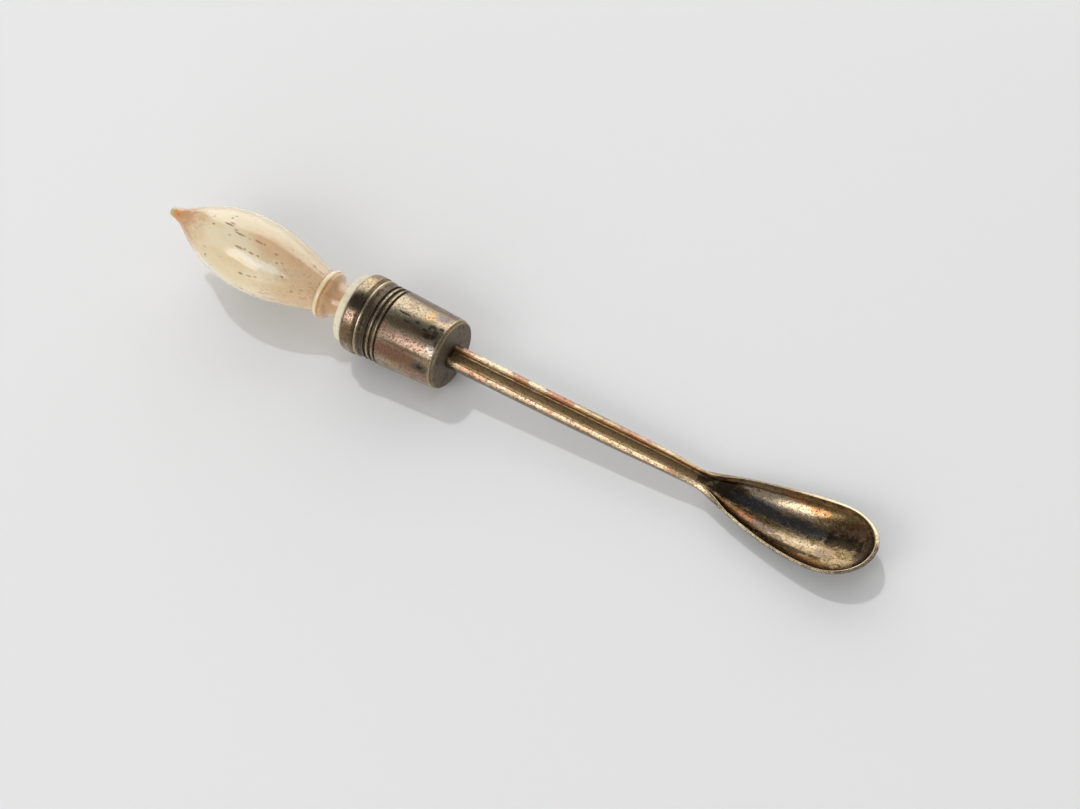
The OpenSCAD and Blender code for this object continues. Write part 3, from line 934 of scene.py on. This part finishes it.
collarLook = {
    # Stains, and one painted highlight, by place along the collar in millimetres and turn round it in
    # degrees
    "stains": [
        ("purple", (7.6, 54), (4.8, 15), 0.92),
        ("olive", (9.2, 74), (3.4, 10), 0.5),
        ("green", (6.3, 1), (2.2, 10), 0.6),
        ("green", (9.2, 0), (2.4, 12), 0.7),
        ("brown", (7.6, -11), (3.2, 5), 0.5),
        ("olive", (5.6, -13), (1.6, 7), 0.6),
        ("pink", (7.4, -31), (4.2, 8), 0.8),
        # Painted highlight: a bright silver spot where the near softbox's reflection runs up to the
        # barrel's end
        ("silverHighlight", (10.8, -27), (0.8, 7), 0.9),
        ("brown", (8.2, -43), (3.0, 3), 0.7),
        ("red", (6.6, -58), (3.0, 13), 0.8),
        ("red", (9.6, -78), (2.4, 12), 0.6),
        ("green", (9.9, -62), (1.1, 8), 0.8),
        ("black", (1.0, -9), (1.1, 15), 0.75),
        ("pink", (1.1, -33), (0.9, 8), 0.8),
        ("brown", (1.2, -62), (1.0, 18), 0.55),
        ("olive", (0.9, 45), (1.0, 9), 0.7),
        ("brown", (1.0, 70), (1.0, 16), 0.7),
        ("olive", (9.3, 38), (2.3, 10), 0.55),
        ("lavender", (9.9, 30), (0.8, 8), 0.9),
    ],
    "blots": [
        ((9.6, 4), (0.45, 6)), ((9.5, -9), (0.6, 6)), ((10.2, -4), (0.3, 8)),
        ((10.9, -16), (0.3, 6)), ((9.0, -4), (0.35, 3)), ((10.5, 9), (0.3, 2.5)),
        ((6.8, -4), (0.45, 2)), ((6.1, 6), (0.7, 1.6)), ((9.9, -61), (0.35, 3)),
        ((7.9, 2), (0.3, 2)),
    ],
    "blotCentre": ((9.7, 2), (0.2, 2.4)),
    "ringsStart": 1.5, "ringsEnd": 4.5, "ringTop": 4.17, "specks": 5.2,
}


def makeCollar(c):
    finish = makeTarnishedMetal(lineMatrix, collarLook, c)
    mesh = turnPiece("collar", collarOutline(c), alongLine, finish, c)
    finishMesh("ringed_collar", mesh, ["collar"])


makeCollar(collar)
print("collar turned")


# End plate: the solid's own shape is right, so it gets its finish only

plateRadius = 3.71
plate = frame["nodes"]["end_plate"]
plate.data.materials.clear()
plate.data.materials.append(makeDullMetal(lineMatrix, plateRadius))
print("end plate finished")


# Spoon: the same rules as the part's source, with finer steps and a worked surface

spoon = {
    "faceAt": 11.45, "stemLength": 30.4, "stemWidth": 2.48, "stemWidthEnd": 1.9,
    "stemHeight": 1.52, "stemHeightEnd": 1.1, "channelWidth": 1.02, "channelDepth": 0.5,
    "railRound": 0.3, "railEdge": 0.04, "railCrest": 0.7, "railOuter": 0.06, "stemSag": 0.14,
    "stemSquare": 0.42, "stemDraw": 4,
    "tangRadius": 0.42, "tangAt": 10.1,
    "bowlHalf": 3.9, "bowlFront": 14.0, "bowlBack": 5.5, "bowlDepth": 2.52, "deepestBefore": 4.0,
    "tipRise": 2.45, "riseLength": 13.6, "rimWidth": 0.3, "rimTip": 0.55, "bowlWall": 0.4,
    "bowlRail": 0.09, "leafPower": 1.75, "leafOver": 2.8, "bellyOver": 2.0, "cornerSoft": 0.3,
    "settleBefore": 6.0, "settleLength": 9.0, "openBefore": 1.5, "openLength": 5.0,
    "underSteps": 60, "railSteps": 18, "upperSteps": 54, "stemStations": 110,
    "bowlStations": 120, "lipSteps": 6, "rimInset": 3,
    # Hand work: its depth, and the scales and shift of its slow and quick waves
    "wobble": 0.035, "slowWaves": (0.35, 0.8, 0), "quickWaves": (1.3, 1.6, 9),
    "solder": 0.064, "solderReach": 0.35, "solderGrains": (3.1, 7.3),
}
spoon["bowlAt"] = spoon["faceAt"] + spoon["stemLength"]
spoon["widestAt"] = spoon["bowlAt"] + spoon["bowlFront"]
spoon["tipAt"] = spoon["widestAt"] + spoon["bowlBack"]
spoon["innerTipAt"] = spoon["tipAt"] - spoon["rimTip"]
spoon["deepestAt"] = spoon["widestAt"] - spoon["deepestBefore"]


def opened(s, x):
    return eased((x - s["bowlAt"] + s["openBefore"]) / s["openLength"])


def stemShare(s, x):
    return min(1, max(0, (x - s["faceAt"]) / s["stemLength"]))


def stemHalf(s, x):
    return mix(s["stemWidth"], s["stemWidthEnd"], stemShare(s, x) ** s["stemDraw"]) / 2


def stemHigh(s, x):
    return mix(s["stemHeight"], s["stemHeightEnd"], stemShare(s, x) ** s["stemDraw"])


def swell(s, x, centre, front, back):
    if x < centre:
        return 1 - ((centre - x) / front) ** s["leafPower"]
    return sqrt(max(0, 1 - ((x - centre) / back) ** 2))


def leaf(s, x, back):
    return swell(s, x, s["widestAt"], s["bowlFront"] + s["leafOver"], back)


def belly(s, x, back):
    front = s["bowlFront"] - s["deepestBefore"] + s["leafOver"] + s["bellyOver"]
    return swell(s, x, s["deepestAt"], front, back)


def outerHalf(s, x):
    share = leaf(s, x, s["bowlBack"])
    half = s["bowlHalf"] * share
    return larger(stemHalf(s, x), half, s["cornerSoft"] * (1 - share)) if x < s["widestAt"] else half


def outerDepth(s, x):
    share = belly(s, x, s["tipAt"] - s["deepestAt"])
    depth = s["bowlDepth"] * share
    return larger(stemHigh(s, x), depth, s["cornerSoft"] * (1 - share)) if x < s["deepestAt"] else depth


def innerHalf(s, x):
    narrow = s["channelWidth"] / 2
    if x < s["widestAt"]:
        wide = max(narrow, outerHalf(s, x) - s["rimWidth"])
    else:
        wide = (s["bowlHalf"] - s["rimWidth"]) * leaf(s, x, s["innerTipAt"] - s["widestAt"])
    return mix(narrow, wide, opened(s, x))


def innerDepth(s, x):
    if x < s["deepestAt"]:
        deep = max(s["channelDepth"], outerDepth(s, x) - s["bowlWall"])
    else:
        deep = (s["bowlDepth"] - s["bowlWall"]) * belly(s, x, s["innerTipAt"] - s["deepestAt"])
    return mix(s["channelDepth"], deep, opened(s, x))


def rimHigh(s, x):
    stem = stemHigh(s, x) / 2 - s["stemSag"] * sin(pi * stemShare(s, x))
    settled = eased((x - s["bowlAt"] + s["settleBefore"]) / s["settleLength"])
    rise = max(0, x - s["tipAt"] + s["riseLength"]) / s["riseLength"]
    return mix(stem, 0, settled) + s["tipRise"] * rise ** s["leafPower"]


def railHigh(s, x):
    return mix(s["railRound"], s["bowlRail"], opened(s, x))


def squared(s, value, x):
    size = abs(value) ** mix(s["stemSquare"], 1, opened(s, x))
    return size if value >= 0 else -size


def arch(s, x, half, deep, steps, way):
    # One side of the section, from tip to tip: the under side or the upper side
    edge = rimHigh(s, x) - railHigh(s, x)
    deep -= railHigh(s, x)
    points = []
    for k in range(steps + 1):
        a = pi * k / steps
        across, down = squared(s, cos(a), x), squared(s, sin(a), x)
        points.append(Vector((x, way * half * across, edge - deep * down)))
    return points


def railShape(s, share):
    # Each rail is filed to a slope on its outer side, up to a crest beside the channel
    edge, crest, low = s["railEdge"], s["railCrest"], s["railOuter"]
    if share < edge:
        return low * sqrt(max(0, 1 - (1 - share / edge) ** 2))
    if share < crest:
        return mix(low, 1, (share - edge) / (crest - edge))
    return sqrt(max(0, 1 - ((share - crest) / (1 - crest)) ** 2))


def railPoint(s, outer, inner, j):
    share = (1 - cos(pi * j / s["railSteps"])) / 2
    point = outer.lerp(inner, share)
    point.z += railHigh(s, point.x) * railShape(s, share)
    return point


def section(s, outerX, innerX):
    under = arch(s, outerX, outerHalf(s, outerX), outerDepth(s, outerX), s["underSteps"], -1)
    upper = arch(s, innerX, innerHalf(s, innerX), innerDepth(s, innerX), s["upperSteps"], 1)
    rails = range(1, s["railSteps"])
    return (under + [railPoint(s, under[-1], upper[0], j) for j in rails] + upper
            + [railPoint(s, under[0], upper[-1], j) for j in reversed(rails)])


def station(s, last, i):
    openFrom = s["bowlAt"] - s["openBefore"]
    if i < s["stemStations"]:
        return mix(s["faceAt"], openFrom, i / s["stemStations"])
    return mix(openFrom, last, sin(pi / 2 * (i - s["stemStations"]) / s["bowlStations"]))


def waves(point, along, across, shift):
    return noise.noise(Vector((point.x * along, point.y * across + shift, point.z * across)))


def worked(s, point):
    # Hand work: the surface wavers a little, always inwards, and stands proud in grains of
    # solder where it meets the plate
    slow, quick = waves(point, *s["slowWaves"]), waves(point, *s["quickWaves"])
    inward = s["wobble"] * (0.5 + 0.35 * slow + 0.15 * quick)
    near = max(0, 1 - (point.x - s["faceAt"]) / s["solderReach"])
    coarse, fine = (noise.noise(point * scale) for scale in s["solderGrains"])
    proud = s["solder"] * near * near * (0.5 + 0.5 * coarse + 0.25 * fine)
    return proud - inward * (1 - near)


def makeSpoonMesh(s):
    count = s["stemStations"] + s["bowlStations"]
    rings = [section(s, station(s, s["tipAt"], i), station(s, s["innerTipAt"], i))
             for i in range(count)]
    centre = Vector((0, 0, -s["channelDepth"] / 2))
    n = len(rings[0])
    angles = [2 * pi * m / n for m in range(n)]
    tang = [centre - Vector((0, cos(a), sin(a))) * s["tangRadius"] for a in angles]
    rings = [[Vector((x, p.y, p.z)) for p in tang] for x in (s["tangAt"], s["faceAt"])] + rings
    low = Vector((0, 0, s["bowlRail"]))
    outerTip = Vector((s["tipAt"], 0, rimHigh(s, s["tipAt"]))) - low
    innerTip = Vector((s["innerTipAt"], 0, rimHigh(s, s["innerTipAt"]))) - low
    tipLine = [railPoint(s, outerTip, innerTip, j) for j in range(s["railSteps"] + 1)]
    farRail = s["underSteps"]
    farInner = farRail + s["railSteps"]
    nearInner = farInner + s["upperSteps"]
    base = n * len(rings)

    def tipOf(m):
        if m <= farRail:
            return base
        if m <= farInner:
            return base + m - farRail
        if m <= nearInner:
            return base + s["railSteps"]
        return base + s["railSteps"] - (m - nearInner)

    points = [p for ring in rings for p in ring] + tipLine
    faces = [tuple(range(n))]
    # The tang has another shape than the stem, so nothing joins ring 1 to ring 2 yet
    for i in (0, *range(2, len(rings) - 1)):
        for m in range(n):
            a, b = i * n + m, i * n + (m + 1) % n
            faces.append((a, a + n, b + n, b))
    last = (len(rings) - 1) * n
    for m in range(n):
        a, b, ta, tb = last + m, last + (m + 1) % n, tipOf(m), tipOf((m + 1) % n)
        faces.append((a, ta, b) if ta == tb else (a, ta, tb, b))
    mesh = bpy.data.meshes.new("spoon")
    mesh.from_pydata(points, [], faces)
    # The flat ring between the tang and the stem's root is filled with triangles
    work = bmesh.new()
    work.from_mesh(mesh)
    openEdges = [edge for edge in work.edges if edge.is_boundary]
    bmesh.ops.triangle_fill(work, edges=openEdges, use_beauty=True, normal=(-1, 0, 0))
    bmesh.ops.recalc_face_normals(work, faces=work.faces)
    work.to_mesh(mesh)
    work.free()
    mesh.update()
    # How much of the rim, of the lip inside it or of the under side each point is
    inset, lipSteps = s["rimInset"], s["lipSteps"]
    rim, under, lip = [], [], []
    for m in list(range(n)) * len(rings):
        onRim = farRail + inset <= m <= farInner - inset or m >= nearInner + inset
        farLip = farInner - 1 <= m <= farInner + lipSteps
        nearLip = nearInner - lipSteps <= m <= nearInner + 1
        rim.append(1.0 if onRim else 0.0)
        lip.append(1.0 if farLip or nearLip else 0.0)
        # The far rail's outer edge counts twice as under side, so it is painted darker: painted shade
        atFarRail = farRail - inset <= m <= farRail + 1
        under.append(2.0 if atFarRail else 1.0 if inset < m < farRail - inset else 0.0)
    tips = len(tipLine)
    for name, values, atTip in (("rim", rim, 1.0), ("under", under, 0.0), ("lip", lip, 0.0)):
        attribute = mesh.attributes.new(name, "FLOAT", "POINT")
        attribute.data.foreach_set("value", values + [atTip] * tips)
    normals = [vertex.normal.copy() for vertex in mesh.vertices]
    turnedOut = -1 if normals[2 * n + farRail // 2].z > 0 else 1
    for vertex, normal in zip(mesh.vertices, normals):
        if vertex.index >= 2 * n:
            vertex.co += normal * turnedOut * worked(s, vertex.co)
            vertex.co.x = min(max(vertex.co.x, s["faceAt"]), s["tipAt"] - s["wobble"] / 2)
        vertex.co = lineMatrix @ vertex.co
    return mesh


spoonLook = {
    # Stains, painted highlights and painted reflections by place along the spoon and to its side, in
    # millimetres
    "stains": [
        ("olive", (55.4, 2.8), (3.6, 0.8), 0.8),
        ("red", (57.6, 1.8), (2.0, 0.9), 0.7),
        ("dark", (60.2, 0.4), (1.0, 2.0), 0.6),
        # Painted highlight: orange, cream and steel patches brighten the near softbox's reflection on the
        # bowl's far wall
        ("orange", (50.0, 2.15), (4.6, 0.95), 0.8),
        ("cream", (49.2, 1.95), (4.4, 0.75), 0.95),
        ("steel", (48.0, 1.15), (1.6, 0.35), 0.7),
        # Painted reflection: a gilt patch with cream in it where the far softbox is mirrored in the bowl,
        # with umber, ash and dark stains round and in it
        ("umber", (46.4, -1.2), (4.2, 1.0), 0.9),
        ("umber", (54.5, -2.9), (6.0, 0.9), 0.9),
        ("ash", (50.2, -1.15), (3.6, 0.5), 0.85),
        ("gilt", (53.8, -1.1), (3.2, 0.65), 0.9),
        ("dark", (51.6, -1.95), (5.4, 0.24), 0.85),
        ("cream", (53.6, -0.9), (1.8, 0.35), 0.6),
        ("ash", (55.9, -1.2), (1.0, 0.5), 0.6),
        # A dark and blue streak along the bowl's middle from the stem's end: tarnish, and a painted
        # reflection of the dark room
        ("dark", (44.4, 0.5), (2.4, 0.9), 0.85),
        ("blue", (48.4, 0.55), (3.2, 0.6), 0.9),
        ("blue", (53.0, 0.7), (3.2, 0.65), 0.9),
        ("dark", (57.4, 0.5), (2.2, 0.8), 0.9),
        ("copper", (47.0, -1.1), (0.9, 0.3), 0.9),
        ("dark", (41.6, 0.2), (0.8, 0.5), 0.7),
        ("dark", (42.6, -0.5), (0.5, 0.3), 0.6),
        ("copper", (13.1, 0.9), (0.8, 0.4), 0.6),
        ("copper", (19.3, 0.9), (1.2, 0.4), 0.7),
        ("copper", (24.2, 0.9), (1.7, 0.4), 0.9),
        ("cream", (16.0, 0.9), (2.4, 0.5), 0.9),
        ("cream", (21.6, 0.9), (1.1, 0.5), 0.9),
        ("copper", (33.0, 0.8), (2.4, 0.3), 0.6),
        ("copper", (15.0, -0.9), (1.6, 0.3), 0.5),
    ],
}


def makeSpoon(s):
    mesh = makeSpoonMesh(s)
    mesh.materials.append(makeWornGilt(lineMatrix, s, spoonLook))
    finishMesh("channelled_spoon", mesh, ["spoon"])


makeSpoon(spoon)
print("spoon shaped")


# Floor, light and air

studio = {
    "floorSize": 3.0,
    "floorTone": (0.56, 0.56, 0.557, 1),
    "floorRoughness": 0.08,
    "horizon": (0.48, 0.48, 0.49, 1),
    "zenith": (0.2, 0.205, 0.22, 1),
    "dimFrom": 0.05, "dimTo": 0.85,
    # Each lamp's direction, distance, width, height, level, colour, and what it lights: the
    # softboxes everything, the fills only what is matt, and the wash the table alone. The
    # sheen is only mirrored by the table, where the spoon then stands out dark below itself
    "lamps": {
        "far softbox": ((-0.33, 0.85, 0.42), 0.6, 1.0, 0.57, 1.8, (1, 0.99, 0.97), "all"),
        "near softbox": ((-0.3, -0.68, 0.67), 0.6, 0.3, 0.27, 3.2, (1, 0.98, 0.96), "all"),
        "top fill": ((-0.15, 0.1, 1.0), 1.0, 1.1, 1.1, 0.35, (1, 1, 1), "matt"),
        "front fill": ((0.1, -0.8, 0.5), 0.8, 1.0, 0.8, 1.35, (1, 1, 1), "matt"),
        "table wash": ((-0.2, 0.14, 0.97), 0.6, 0.9, 0.9, 0.5, (1, 1, 1), "table matt"),
        "table sheen": ((-0.12, 0.1, 0.99), 0.9, 2.2, 2.2, 3.6, (1, 1, 1), "table mirror"),
    },
    "lampCentre": (0, 0, 0.004),
}


def makeFloor(s):
    half = s["floorSize"] / 2
    corners = [(-half, -half, 0), (half, -half, 0), (half, half, 0), (-half, half, 0)]
    mesh = bpy.data.meshes.new("floor")
    mesh.from_pydata(corners, [], [(0, 1, 2, 3)])
    floor = addObject("floor", mesh)
    material = bpy.data.materials.new("pale satin floor")
    material.use_nodes = True
    look = {"Base Color": s["floorTone"], "Roughness": s["floorRoughness"]}
    mesh.materials.append(setShader(material, look))
    return floor


def makeLamps(s, floor):
    table = bpy.data.collections.new("table")
    table.objects.link(floor)
    for name, lamp in s["lamps"].items():
        direction, distance, width, height, level, shade, seenBy = lamp
        data = bpy.data.lights.new(name, "AREA")
        data.shape = "RECTANGLE"
        data.size, data.size_y = width, height
        data.color = shade
        data.energy = level * width * height * pi
        light = addObject(name, data)
        towards = Vector(direction).normalized()
        light.location = Vector(s["lampCentre"]) + towards * distance
        light.rotation_euler = towards.to_track_quat("Z", "Y").to_euler()
        light.visible_glossy = "matt" not in seenBy
        light.visible_diffuse = "mirror" not in seenBy
        if "table" in seenBy:
            light.light_linking.receiver_collection = table


def makeAir(s):
    # Pale at the horizon, dim overhead, as in a room lit from its sides
    world = bpy.data.worlds.new("air")
    bpy.context.scene.world = world
    world.use_nodes = True
    tree = world.node_tree
    background = next(n for n in tree.nodes if n.type == "BACKGROUND")
    up = split(tree, addNode(tree, "ShaderNodeTexCoord").outputs["Generated"])[2]
    shade = mixColor(tree, remap(tree, up, s["dimFrom"], s["dimTo"]), s["horizon"], s["zenith"])
    feed(tree, background.inputs["Color"], shade)


floor = makeFloor(studio)
makeLamps(studio, floor)
makeAir(studio)
bpy.context.scene.view_settings.view_transform = "Standard"
print("floor, lamps and air set")
